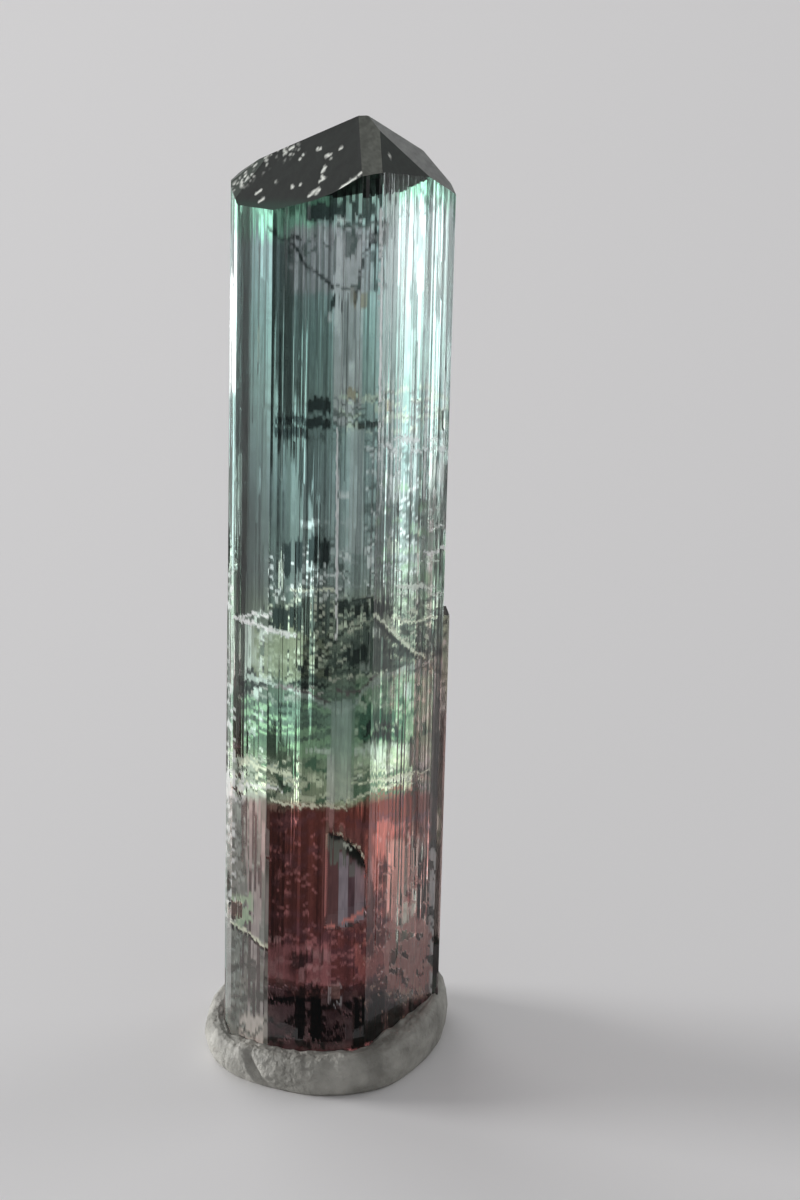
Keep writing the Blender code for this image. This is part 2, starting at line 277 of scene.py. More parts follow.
def fine_outline():
    """Every strip edge round the prism: place, facing, whether on the rib, side, depth of its groove."""
    rng = random.Random(SEED)
    corners = [Vector((x, -toward)) for x, toward in OUTLINE]
    columns = []
    for i, start in enumerate(corners):
        end = corners[(i + 1) % len(corners)]
        along = end - start
        out = Vector((along.y, -along.x)).normalized()
        wide = 1.0 if i < BACK_FROM else BACK_STRIPS
        stops = [0.0, 0.02] if i == RIB_CORNER else [0.0]
        while stops[-1] < along.length - 0.1:
            stops.append(stops[-1] + wide * (STRIP_NARROW + STRIP_SPREAD * rng.random() ** 2.4))
        for k, stop in enumerate(stops[:-1]):
            broad = 0.5 + 0.5 * noise.noise(Vector((1.1 * (i * 7.0 + stop), 3.0, 0.0)))
            depth = GROOVE * (0.55 * broad + 0.45 * rng.random() ** 1.5)
            depth *= GROOVE_SHARES[i] if i < BACK_FROM else BACK_SHARE
            if k == 0 or stop < NEAR:
                depth *= CORNER_GROOVE
            rib = i == RIB_CORNER and 0.0 < stop < RIB_WIDTH
            columns.append((start + along * (stop / stops[-1]) - out * depth, out, rib, i, depth))
    return columns


def row_heights():
    heights = [FOOT_HEIGHT]
    for end, gap in ROW_GAPS:
        while heights[-1] < end:
            z = heights[-1]
            if z < RIB_TOP - NEAR < z + gap:
                heights += [RIB_TOP - RIB_LEDGE, RIB_TOP]
            else:
                heights.append(z + gap)
    return heights


def bite_depth(x, z):
    """How far back the recess near the foot reaches at a place of the front, or None outside it."""
    width = BITE_RIGHT - BITE_LEFT
    low = BITE_LOW + BITE_RISE * (x - BITE_LEFT)
    arch_start = BITE_HIGH - BITE_ARCH * width
    share = (x - BITE_LEFT) / width
    if not 0.0 <= share <= 1.0 or z < low:
        return None
    if z > arch_start + (BITE_HIGH - arch_start) * math.sqrt(max(0.0, 1.0 - share * share)):
        return None
    back = BITE_FROM + BITE_DEPTH + BITE_SLANT * (x - BITE_LEFT)
    return back - max(0.0, 1.0 - (z - low) / BITE_FLOOR) * (BITE_DEPTH + BITE_FLOOR_SLANT * (x - BITE_LEFT))


def chip_away(place, out, z):
    """A place pushed in to the inner wall of the chip that it lies in."""
    for x, toward, at, across, deep, high, turn in CHIPS:
        if abs(z - at) > high + 0.3:
            continue
        turned = Matrix.Rotation(math.radians(-turn), 3, "Y") @ Matrix.Rotation(math.radians(-turn), 3, "Z")
        spot = turned @ Vector((place.x - x, place.y + toward, z - at))
        back = turned @ Vector((-out.x, -out.y, 0.0))
        size = (across, deep, high)
        p = Vector(a / b for a, b in zip(spot, size))
        d = Vector(a / b for a, b in zip(back, size))
        if p.dot(p) < 1.0:
            reach = (-p.dot(d) + math.sqrt(p.dot(d) ** 2 - d.dot(d) * (p.dot(p) - 1.0))) / d.dot(d)
            place = place - out * min(reach, CHIP_DEEPEST)
    return place


def cap_heights(x, y):
    """The height of every cap plane over places of the crystal's own frame, one row for each plane."""
    planes = []
    for bearing, dip, lift in CAP_FACES.values():
        turn, slope = math.radians(bearing), math.tan(math.radians(dip))
        fall = slope * (math.sin(turn) * (x - APEX_X) - math.cos(turn) * y)
        planes.append(APEX_HEIGHT + lift - fall)
    return np.stack(planes)


def prism_grid(columns, heights):
    """Where every row crosses every column, with the rows past the cap laid on its edge."""
    rng = random.Random(SEED + 1)
    rows = len(heights)
    grid = np.zeros((rows + 1, len(columns), 3))
    levels = np.array(heights)
    calm = 1.0 - np.clip((levels - CALM_BELOW) / CALM_OVER, 0.0, 1.0)
    for k, (place, out, rib, side, depth) in enumerate(columns):
        shift = depth * CALM * calm if side in CALM_SIDES else np.zeros(rows)
        for event in range(rng.choice((0, 1, 1, 2))):
            start = rng.uniform(*STEP_STARTS)
            size = rng.uniform(-STEP_LARGEST, STEP_LARGEST) * (1.0 if side in STEPPED_SIDES else PLAIN_STEP)
            end = min(STEP_TOP, start + rng.uniform(*STEP_LENGTHS))
            shift += size * ((levels > start) & (levels < end))
        for r, z in enumerate(heights):
            spot = place + out * (shift[r] + (RIB_PROUD if rib and z < RIB_TOP else 0.0))
            if side < BACK_FROM:
                spot = chip_away(spot, out, z)
                back = bite_depth(spot.x, z)
                if back is not None and back > spot.y:
                    spot.y = back
            grid[r, k] = (spot.x, spot.y, z)
        grid[rows, k] = grid[rows - 1, k]
    tops = cap_heights(grid[rows, :, 0], grid[rows, :, 1]).min(0)
    grid[rows, :, 2] = tops
    grid[:rows, :, 2] = np.minimum(grid[:rows, :, 2], tops)
    return grid, tops


def stitch(left, right):
    """Triangles between two upright lines of vertices, each a list of (height, index) from the foot up."""
    faces = []
    a = b = 0
    while a < len(left) - 1 or b < len(right) - 1:
        climb_left = a < len(left) - 1 and (b == len(right) - 1 or left[a + 1][0] <= right[b + 1][0])
        if climb_left:
            faces.append((left[a][1], right[b][1], left[a + 1][1]))
            a += 1
        else:
            faces.append((left[a][1], right[b][1], right[b + 1][1]))
            b += 1
    return faces


def distance(x, y, ax, ay, bx, by):
    """How far places lie from the line between two points."""
    dx, dy = bx - ax, by - ay
    along = np.clip(((x - ax) * dx + (y - ay) * dy) / (dx * dx + dy * dy + 1e-12), 0.0, 1.0)
    return np.hypot(x - ax - along * dx, y - ay - along * dy)


def inside(points, ring, margin):
    """Which points lie inside the ring, and farther from it than the margin."""
    x, y = points[:, 0], points[:, 1]
    within = np.zeros(len(points), dtype=bool)
    near = np.full(len(points), 1e9)
    for (ax, ay), (bx, by) in zip(ring, np.roll(ring, -1, 0)):
        crosses = (ay > y) != (by > y)
        at = ax + (y - ay) / np.where(by == ay, 1e-9, by - ay) * (bx - ax)
        within ^= crosses & (x < at)
        near = np.minimum(near, distance(x, y, ax, ay, bx, by))
    return within & (near > margin)


def cap_mesh(ring):
    """The cap as a fine net: its places, its triangles, and which place is which of the ring's."""
    rng = np.random.default_rng(SEED + 2)
    low, high = ring.min(0), ring.max(0)
    across, deep = np.meshgrid(np.arange(low[0], high[0], CAP_GAP), np.arange(low[1], high[1], CAP_GAP))
    across = across + 0.5 * CAP_GAP * (np.arange(len(across)) % 2)[:, None]
    net = np.stack([across.ravel(), deep.ravel()], 1)
    net += rng.uniform(-0.25, 0.25, net.shape) * CAP_GAP
    ridges = []
    links = []
    count = len(ring)
    corner_heights = cap_heights(*np.array([[0.0, 1.0, 0.0], [0.0, 0.0, 1.0]]))
    for i in range(len(CAP_FACES)):
        for j in range(i + 1, len(CAP_FACES)):
            gap = corner_heights[i] - corner_heights[j]
            across_slope, deep_slope = gap[1] - gap[0], gap[2] - gap[0]
            steep = math.hypot(across_slope, deep_slope)
            foot = np.array((-gap[0] * across_slope, -gap[0] * deep_slope)) / steep ** 2
            along = np.array((-deep_slope, across_slope)) / steep
            line = foot + np.arange(-CAP_REACH, CAP_REACH, CAP_EDGE_GAP)[:, None] * along
            levels = cap_heights(line[:, 0], line[:, 1])
            kept = (levels[i] < levels.min(0) + 1e-6) & inside(line, ring, 0.25 * CAP_GAP)
            for a in np.nonzero(kept)[0]:
                if a and kept[a - 1]:
                    links.append((count + len(ridges) - 1, count + len(ridges)))
                ridges.append(line[a])
    ridges = np.array(ridges)
    free = inside(net, ring, 0.09)
    net = net[free]
    apart = np.hypot(net[:, None, 0] - ridges[None, :, 0], net[:, None, 1] - ridges[None, :, 1]).min(1)
    net = net[apart > 0.07]
    places = np.concatenate([ring, ridges, net])
    found = geometry.delaunay_2d_cdt(
        [Vector(p) for p in places], links, [list(range(count))], 1, 1e-5, True
    )
    verts, faces, origins = found[0], found[2], found[3]
    on_ring = [next((o for o in origin if o < count), None) for origin in origins]
    return np.array([tuple(v) for v in verts]), faces, on_ring


def crystal_mesh():
    columns = fine_outline()
    heights = row_heights()
    grid, tops = prism_grid(columns, heights)
    rows, count = len(heights), len(columns)
    verts = []
    vert_rows = []
    lines = []
    for k in range(count):
        back = columns[k][3] >= BACK_FROM and columns[k - 1][3] >= BACK_FROM
        line = []
        for r in range(rows):
            ledge = columns[k][2] and abs(heights[r] - RIB_TOP) < NEAR
            kept = ledge or not back or r % BACK_ROWS == 0
            if kept and heights[r] < tops[k] - NEAR:
                line.append((heights[r], len(verts)))
                verts.append(grid[r, k])
                vert_rows.append(r)
        line.append((tops[k], len(verts)))
        verts.append(grid[rows, k])
        vert_rows.append(rows)
        lines.append(line)
    faces = []
    face_strips = []
    for k in range(count):
        made = stitch(lines[k], lines[(k + 1) % count])
        faces += made
        face_strips += [k] * len(made)
    faces.append(tuple(line[0][1] for line in lines)[::-1])
    face_strips.append(0)
    ring = grid[rows, :, :2]
    places, net_faces, on_ring = cap_mesh(ring)
    levels = cap_heights(places[:, 0], places[:, 1]).min(0)
    numbers = []
    for spot, z, at in zip(places, levels, on_ring):
        if at is not None:
            numbers.append(lines[at][-1][1])
        else:
            numbers.append(len(verts))
            verts.append((spot[0], spot[1], z))
            vert_rows.append(rows)
    side_count = len(faces)
    faces += [tuple(numbers[v] for v in face) for face in net_faces]
    mesh = mesh_from("crystal_body", verts, faces)
    smooth = np.zeros(len(mesh.polygons), dtype=bool)
    smooth[side_count:] = True
    mesh.polygons.foreach_set("use_smooth", smooth)
    return mesh, columns, grid, np.array(vert_rows), np.array(face_strips), side_count


def to_stand(points):
    """From the crystal's own frame to the stand's, both in millimetres."""
    turned = np.array(Matrix.Rotation(LEAN, 3, "Y"))
    return points @ turned.T + np.array((*STAND_AT, 0.0))


def read_ints(items, name):
    values = np.empty(len(items), dtype=np.int32)
    items.foreach_get(name, values)
    return values


def mesh_places(mesh):
    values = np.empty(len(mesh.vertices) * 3)
    mesh.vertices.foreach_get("co", values)
    return values.reshape(-1, 3)


def set_places(mesh, places):
    mesh.vertices.foreach_set("co", places.astype(np.float32).ravel())
    mesh.update()


# What light the crystal lets through

# The crystal's materials in the order of their slots: how rough, and what share of light passes through
SURFACES = {"tourmaline": (0.05, 1.0), "cap": (0.48, 0.0), "veil": (0.25, 0.45), "recess": (0.3, 0.1)}
SLOTS = list(SURFACES)


def in_photo(points):
    """Where points, in millimetres from the stand's own origin, lie in the photo."""
    dip = math.radians(CAMERA_DIP)
    ahead = np.array((0.0, math.cos(dip), -math.sin(dip)))
    up = np.array((0.0, math.sin(dip), math.cos(dip)))
    away = points - np.array(CAMERA_AT)
    depth = away @ ahead
    return FRAME_MIDDLE[0] + FOCAL_PX * away[:, 0] / depth, FRAME_MIDDLE[1] - FOCAL_PX * (away @ up) / depth


def step(low, high, value):
    share = np.clip((value - low) / (high - low), 0.0, 1.0)
    return share * share * (3.0 - 2.0 * share)


def band(x, start, end, soft):
    return step(start - soft, start + soft, x) * (1.0 - step(end - soft, end + soft, x))


def stroke(x, y, points, width):
    """1 on a line through the points, falling to 0 a width away."""
    nearest = np.full(len(x), 1e9)
    for start, end in zip(points, points[1:]):
        nearest = np.minimum(nearest, distance(x, y, *start, *end))
    return 1.0 - step(0.4 * width, 1.15 * width, nearest)


# Grounds seen inside: photo columns and rows, then the cells that break them up (wide, high), which
# part of the cells shows, the light they let through, how full they are, and VEIL if they are veils
# close under the surface
VEIL = True
GROUNDS = (
    # under the cap; the first is painted shade, the right cap face seen dark from below
    (330, 392, 176, 246, 3, 14, 0.52, BLACK, 0.85),
    (336, 385, 214, 240, 4, 4, 0.6, WHITE, 0.35),
    (290, 372, 226, 292, 30, 30, 0.15, PINKISH, 0.55),
    (285, 330, 230, 262, 5, 5, 0.66, DARK, 0.75),
    (335, 388, 234, 290, 3, 16, 0.66, DARK, 0.6),
    (334, 362, 240, 425, 40, 60, 0.1, (0.6, 0.53, 0.55), 0.6),
    (334, 362, 300, 425, 2.4, 90, 0.66, DARK, 0.35),
    (388, 450, 185, 215, 3, 8, 0.62, DARK, 0.6),
    (392, 452, 200, 330, 2.6, 60, 0.7, DARK, 0.55),
    (243, 330, 214, 560, 2.6, 150, 0.66, DARK, 0.5),
    (243, 290, 290, 600, 40, 1.6, 0.64, DARK, 0.22),
    # the ragged pale line across the upper part
    (340, 450, 386, 432, 9, 4, 0.6, (0.75, 0.82, 0.6), 0.65),
    (345, 450, 388, 440, 7, 3, 0.68, DARK, 0.6),
    (262, 345, 400, 440, 7, 4, 0.68, DARK, 0.65),
    # the lower blue part, with painted highlights as bright dashes on the right
    (363, 430, 440, 600, 12, 1.7, 0.68, DARK, 0.55),
    (366, 448, 445, 604, 4, 2.2, 0.74, WHITE, 0.95),
    (384, 448, 436, 452, 9, 3, 0.62, (0.8, 0.84, 0.84), 0.8, VEIL),
    (395, 446, 560, 600, 16, 3, 0.74, (0.72, 0.78, 0.7), 0.8, VEIL),
    (268, 345, 576, 600, 12, 3, 0.76, (0.6, 0.66, 0.6), 0.6, VEIL),
    (376, 430, 470, 604, 9, 5, 0.66, LEAF, 0.45),
    (268, 350, 540, 600, 10, 2, 0.7, DARK, 0.7),
    (268, 350, 552, 600, 4, 2.2, 0.76, WHITE, 0.7),
    (300, 440, 520, 600, 22, 1.5, 0.7, SMOKE, 0.6),
    # the cracked part between blue and green
    (268, 440, 596, 642, 10, 4.5, 0.56, DARK, 0.85),
    (268, 440, 598, 680, 9, 2, 0.72, CREAM, 0.55),
    (300, 430, 604, 690, 7, 3, 0.72, (0.52, 0.56, 0.44), 0.75, VEIL),
    (356, 430, 676, 712, 6, 5, 0.66, (0.4, 0.56, 0.44), 0.75, VEIL),
    (370, 430, 700, 770, 5, 5, 0.7, (0.36, 0.5, 0.33), 0.7, VEIL),
    (236, 330, 684, 700, 8, 3, 0.6, (0.36, 0.36, 0.33), 0.7, VEIL),
    (300, 442, 640, 690, 14, 4, 0.5, DARK, 0.75),
    (252, 330, 632, 680, 8, 5, 0.55, OLIVE, 0.6),
    (236, 272, 626, 680, 4, 12, 0.62, WHITE, 0.65),
    (252, 330, 638, 676, 9, 1.8, 0.7, CREAM, 0.5),
    (262, 440, 604, 672, 4, 3, 0.64, BLACK, 0.85),
    (236, 330, 666, 694, 8, 3, 0.56, BLACK, 0.9),
    (232, 262, 612, 790, 5, 6, 0.64, WHITE, 0.75),
    (360, 442, 664, 700, 14, 5, 0.6, SMOKE, 0.55),
    # the green part: fine level lines on the left, a marbled right
    (240, 352, 696, 766, 34, 1.5, 0.62, DARK, 0.4),
    (240, 352, 696, 766, 22, 1.7, 0.66, LEAF, 0.55),
    (356, 432, 676, 766, 60, 60, 0.05, LEAF, 0.45),
    (356, 432, 672, 768, 5.5, 4.5, 0.6, DEEP_GREEN, 0.8),
    (356, 432, 672, 790, 5, 4, 0.7, CREAM, 0.8),
    (358, 405, 712, 746, 7, 3.4, 0.3, DEEP_GREEN, 0.92),
    (362, 398, 722, 742, 4, 2.6, 0.55, BLACK, 0.9),
    # the pale cloud over the red part
    (230, 300, 760, 808, 60, 60, 0.05, (0.7, 0.8, 0.66), 0.6),
    (232, 300, 756, 792, 11, 6, 0.5, (0.38, 0.46, 0.38), 0.8, VEIL),
    (232, 300, 758, 792, 6, 3, 0.64, (0.78, 0.82, 0.62), 0.85, VEIL),
    (234, 300, 758, 792, 7, 3, 0.7, (0.08, 0.12, 0.08), 0.7, VEIL),
    (262, 352, 758, 808, 7, 5, 0.6, DEEP_GREEN, 0.8),
    (262, 352, 776, 806, 8, 3.4, 0.62, CREAM, 0.75),
    (355, 430, 744, 784, 60, 60, 0.05, CREAM, 0.2),
    (355, 430, 744, 792, 10, 3.2, 0.64, WHITE, 0.4),
    (352, 432, 768, 798, 24, 3, 0.5, DEEP_GREEN, 0.75),
    # the red part
    (268, 432, 812, 1000, 12, 4.5, 0.66, PLUM, 0.6),
    (268, 432, 820, 1000, 9, 2.4, 0.76, ROSE, 0.7),
    (355, 432, 812, 990, 16, 12, 0.55, SALMON, 0.35),
    (386, 434, 840, 1004, 8, 14, 0.42, (0.75, 0.6, 0.52), 0.5),
    (355, 440, 830, 1010, 2.4, 2.4, 0.9, WHITE, 0.9),
    (285, 330, 925, 950, 8, 5, 0.5, PLUM, 0.7),
    (262, 330, 945, 985, 60, 60, 0.05, ROSE, 0.6),
    (262, 330, 948, 984, 7, 4, 0.66, (0.8, 0.62, 0.66), 0.7),
    (268, 350, 988, 1052, 8, 5, 0.6, BLACK, 0.5),
    (268, 352, 990, 1050, 12, 3, 0.68, (0.45, 0.22, 0.24), 0.6),
    (345, 425, 985, 1010, 10, 6, 0.52, PLUM, 0.8),
    (268, 352, 984, 1050, 10, 4, 0.5, (0.085, 0.036, 0.040), 0.8, VEIL),
    (268, 352, 992, 1050, 9, 2.6, 0.68, (0.17, 0.09, 0.09), 0.75, VEIL),
    (352, 430, 978, 1030, 8, 4, 0.56, (0.12, 0.055, 0.050), 0.75, VEIL),
    (384, 432, 918, 990, 7, 9, 0.36, (0.34, 0.135, 0.115), 0.75, VEIL),
    (362, 432, 860, 985, 5, 3, 0.74, (0.42, 0.2, 0.17), 0.7, VEIL),
    (360, 432, 985, 1020, 6, 2.6, 0.72, (0.4, 0.24, 0.18), 0.8, VEIL),
    (329, 341, 984, 1004, 3, 3, 0.3, (0.55, 0.52, 0.53), 0.9, VEIL),
    # the grey flanks beside the red part
    (226, 267, 795, 1047, 60, 60, 0.02, (0.235, 0.255, 0.225), 0.92, VEIL),
    (236, 267, 792, 820, 12, 7, 0.35, (0.44, 0.5, 0.44), 0.8, VEIL),
    (240, 267, 950, 1047, 40, 40, 0.05, (0.24, 0.225, 0.195), 0.5, VEIL),
    (228, 258, 800, 1040, 6, 6, 0.55, (0.12, 0.13, 0.11), 0.5, VEIL),
    (228, 262, 800, 1040, 3, 3, 0.72, (0.36, 0.41, 0.37), 0.45, VEIL),
    (246, 267, 800, 1016, 1.8, 60, 0.56, (0.42, 0.38, 0.36), 0.7, VEIL),
    (240, 267, 800, 1016, 1.6, 40, 0.62, (0.11, 0.085, 0.08), 0.65, VEIL),
    (230, 252, 895, 925, 6, 5, 0.4, (0.4, 0.55, 0.37), 0.8, VEIL),
    (228, 267, 955, 1020, 9, 5, 0.56, (0.1, 0.1, 0.085), 0.6, VEIL),
    (430, 447, 612, 1010, 9, 3, 0.6, DARK, 0.6),
    (430, 447, 850, 1040, 6, 5, 0.34, (0.5, 0.48, 0.47), 0.85, VEIL),
    (240, 267, 1016, 1048, 5, 4, 0.4, (0.62, 0.58, 0.52), 0.85, VEIL),
    # painted highlights down the left edge
    (226, 235, 560, 925, 2.6, 3, 0.62, (0.8, 0.84, 0.82), 0.8, VEIL),
    (226, 244, 770, 800, 3, 3, 0.5, (0.85, 0.88, 0.86), 0.8, VEIL),
)

# Patches seen inside: photo columns and rows, what light they let through, how full they are, by how
# many rows the strips break them up, and which share of the strips shows them
PATCHES = (
    (306, 334, 203, 221, BLACK, 1, 5, 1),
    (345, 356, 229, 256, DARK, 0.6, 10, 0.7),
    (333, 341, 240, 276, DARK, 0.6, 8, 0.7),
    (327, 342, 296, 309, BLACK, 0.95, 6, 0.75),
    (352, 366, 290, 305, BROWN, 0.7, 6, 0.6),
    (327, 331, 315, 321, WHITE, 0.9, 1, 1),
    (286, 292, 268, 600, DARK, 0.75, 4, 1),
    (295, 301, 380, 545, DARK, 0.65, 4, 1),
    (308, 331, 398, 412, BLACK, 1, 6, 0.95),
    (308, 331, 418, 428, BLACK, 1, 5, 1),
    (275, 308, 414, 422, BLACK, 1, 8, 0.95),
    (273, 308, 425, 436, BLACK, 1, 8, 0.85),
    (353, 384, 421, 428, BLACK, 0.85, 3, 0.9),
    (347, 359, 388, 399, BROWN, 0.8, 6, 0.9),
    (386, 391, 400, 412, BROWN, 0.9, 3, 1),
    (349, 363, 429, 553, SMOKE, 0.75, 2, 1),
    (284, 292, 540, 574, BLACK, 1, 8, 1),
    (295, 303, 540, 572, BLACK, 1, 8, 1),
    (309, 318, 536, 565, BLACK, 1, 10, 0.95),
    (319, 330, 538, 565, BLACK, 0.95, 10, 0.9),
    (386, 408, 477, 487, WHITE, 1, 5, 0.7),
    (386, 408, 490, 500, WHITE, 1, 5, 0.7),
    (339, 348, 493, 498, WHITE, 1, 1, 1),
    (431, 448, 468, 482, WHITE, 1, 6, 0.8),
    (387, 399, 540, 552, CREAM, 0.9, 8, 0.6),
    (414, 423, 537, 552, WHITE, 0.9, 8, 0.7),
    (273, 282, 556, 583, CREAM, 0.8, 12, 0.4),
    (273, 302, 606, 631, BLACK, 1, 7, 0.8),
    (303, 336, 596, 634, DARK, 0.9, 12, 0.65),
    (338, 390, 602, 613, BLACK, 0.9, 8, 0.7),
    (228, 251, 618, 672, WHITE, 0.35, 14, 0.6),
    (252, 297, 629, 672, OLIVE, 0.6, 10, 0.8),
    (372, 380, 628, 636, WHITE, 1, 1, 1),
    (384, 400, 618, 626, CREAM, 0.9, 5, 0.8),
    (355, 384, 625, 650, DARK, 0.8, 14, 0.6),
    (347, 367, 645, 661, BLACK, 1, 6, 0.9),
    (331, 338, 649, 667, DARK, 0.9, 5, 0.8),
    (388, 426, 648, 658, BLACK, 0.9, 3, 0.9),
    (434, 448, 649, 656, BLACK, 0.9, 1, 1),
    (366, 432, 655, 668, DARK, 0.6, 8, 0.7),
    (331, 352, 700, 800, SMOKE, 0.6, 4, 1),
    (278, 291, 703, 708, BLACK, 0.8, 1, 0.8),
    (278, 291, 711, 716, BLACK, 0.8, 1, 0.8),
    (404, 417, 683, 697, WHITE, 0.8, 6, 0.8),
    (354, 378, 748, 754, WHITE, 0.9, 2, 0.8),
    (306, 332, 749, 753, WHITE, 0.7, 1, 0.8),
    (386, 405, 793, 808, PLUM, 0.7, 8, 0.5),
    (328, 334, 756, 830, (0.62, 0.6, 0.66), 0.8, 1, 1),
    (322, 372, 828, 928, (0.17, 0.075, 0.075), 1, 1, 1),
    (339, 348, 856, 928, (0.36, 0.32, 0.36), 1, 6, 1),
    (348, 354, 862, 922, (0.12, 0.065, 0.08), 1, 1, 1),
    (354, 372, 858, 922, (0.34, 0.27, 0.3), 1, 6, 1),
    (326, 350, 832, 858, (0.19, 0.22, 0.18), 0.75, 22, 0.85),
    (348, 368, 858, 870, (0.22, 0.23, 0.21), 0.6, 14, 0.8),
    (228, 242, 900, 917, CREAM, 0.7, 6, 0.6),
    (268, 281, 937, 942, WHITE, 0.8, 2, 0.7),
    (292, 327, 951, 966, BLACK, 0.6, 8, 0.6),
    (330, 340, 985, 1003, WHITE, 0.9, 5, 0.8),
    (296, 305, 985, 1040, BLACK, 0.6, 10, 1),
    (311, 321, 985, 1040, BLACK, 0.6, 10, 1),
    # painted shade low on the right, where the foot is dark with inner reflection above the putty
    (352, 420, 1004, 1046, BLACK, 0.8, 12, 0.8),
)

# Cracks seen inside: half width in photo pixels, how full, the light they let through, and their corners
CRACKS = (
    (2.2, 1, BLACK, ((284, 238), (292, 242), (298, 251), (304, 264), (319, 274), (333, 287))),
    (2.2, 0.9, BLACK, ((268, 226), (278, 236), (284, 238), (296, 236), (304, 240))),
    (2, 0.8, BLACK, ((292, 242), (286, 256))),
    (2, 0.8, BLACK, ((355, 302), (360, 277), (365, 253), (377, 233), (387, 222))),
    (2.2, 0.8, DARK, ((338, 228), (352, 224), (366, 226), (386, 222))),
    (2, 0.8, DARK, ((352, 228), (356, 242), (349, 256))),
    (2, 0.8, DARK, ((338, 286), (348, 290), (358, 284))),
    (8, 1, BLACK, ((326, 213), (336, 210))),
    (4, 1, BLACK, ((309, 219), (326, 216))),
    (1.6, 1, WHITE, ((381, 210), (381, 300), (380, 400))),
    # a painted highlight along a raised ridge
    (1.3, 0.9, WHITE, ((337, 428), (337, 640))),
    (1.6, 1, WHITE, ((424, 553), (434, 554), (447, 546))),
    (1.2, 0.8, WHITE, ((430, 531), (447, 525))),
    (1.3, 0.7, CREAM, ((291, 590), (334, 590))),
    (1.8, 1, WHITE, ((240, 614), (270, 615))),
    (2.2, 1, WHITE, ((235, 617), (252, 623), (270, 630), (295, 636))),
    (3.2, 1, BLACK, ((378, 622), (392, 637), (406, 650), (424, 658))),
    (1.8, 1, CREAM, ((374, 614), (389, 628), (402, 641), (414, 651), (424, 656))),
    (1.3, 0.9, CREAM, ((399, 623), (422, 620), (435, 616))),
    (1.5, 0.9, BLACK, ((336, 604), (352, 600), (370, 598), (380, 606))),
    (2, 0.8, (0.55, 0.58, 0.58), (
        (237, 674), (265, 681), (290, 688), (308, 696), (328, 707), (340, 712), (353, 706), (364, 690),
        (390, 674), (415, 665), (441, 660),
    )),
    (1.6, 0.9, PLUM, ((276, 684), (300, 690), (330, 704))),
    (1.8, 0.9, PLUM, ((338, 690), (348, 694), (360, 690), (376, 676))),
    (1.9, 0.95, CREAM, ((240, 762), (256, 765), (270, 769), (291, 775))),
    (1.6, 0.9, WHITE, ((240, 784), (262, 786), (281, 789))),
    (1.3, 0.9, BLACK, ((278, 779), (283, 784), (276, 792))),
    (1.8, 0.95, CREAM, ((271, 798), (285, 804), (305, 806), (331, 806), (345, 808))),
    (1.4, 0.8, CREAM, ((354, 784), (397, 777), (429, 770))),
    (1.2, 0.6, CREAM, ((345, 802), (356, 796), (381, 788), (422, 779))),
    (1.6, 0.9, CREAM, ((231, 922), (246, 931), (267, 948))),
    (1.2, 0.8, BLACK, ((231, 925), (246, 934), (267, 951))),
    # the recess: painted shade along the top of its arch, then a painted glint
    (3, 1, BLACK, ((330, 834), (340, 836), (350, 842))),
    (7, 1, (0.008, 0.014, 0.010), ((352, 850), (358, 855), (364, 862))),
    (1.6, 1, (0.7, 0.78, 0.66), ((345, 845), (351, 848))),
    (1, 0.7, CREAM, ((334, 833), (347, 837), (360, 849), (367, 864))),
    (1.5, 0.9, SALMON, ((325, 926), (345, 922), (356, 914), (368, 906))),
    (1.2, 0.8, SALMON, ((364, 946), (372, 936))),
    (1.4, 0.8, SALMON, ((374, 890), (385, 888))),
    (1.2, 0.8, SALMON, ((366, 830), (366, 900))),
)


def zone_light(level_y):
    rows, *channels = zip(*ZONES)
    return np.stack([np.interp(level_y, rows, channel) for channel in channels], 1)


def side_shading(x, y):
    profiles = np.stack([np.interp(x, SIDE_COLUMNS, tones) for row, tones in SIDE_SHADING])
    at = np.interp(y, [row for row, tones in SIDE_SHADING], np.arange(len(SIDE_SHADING)))
    lower = np.minimum(at.astype(int), len(SIDE_SHADING) - 2)
    share = at - lower
    places = np.arange(len(x))
    return profiles[lower, places] * (1.0 - share) + profiles[lower + 1, places] * share


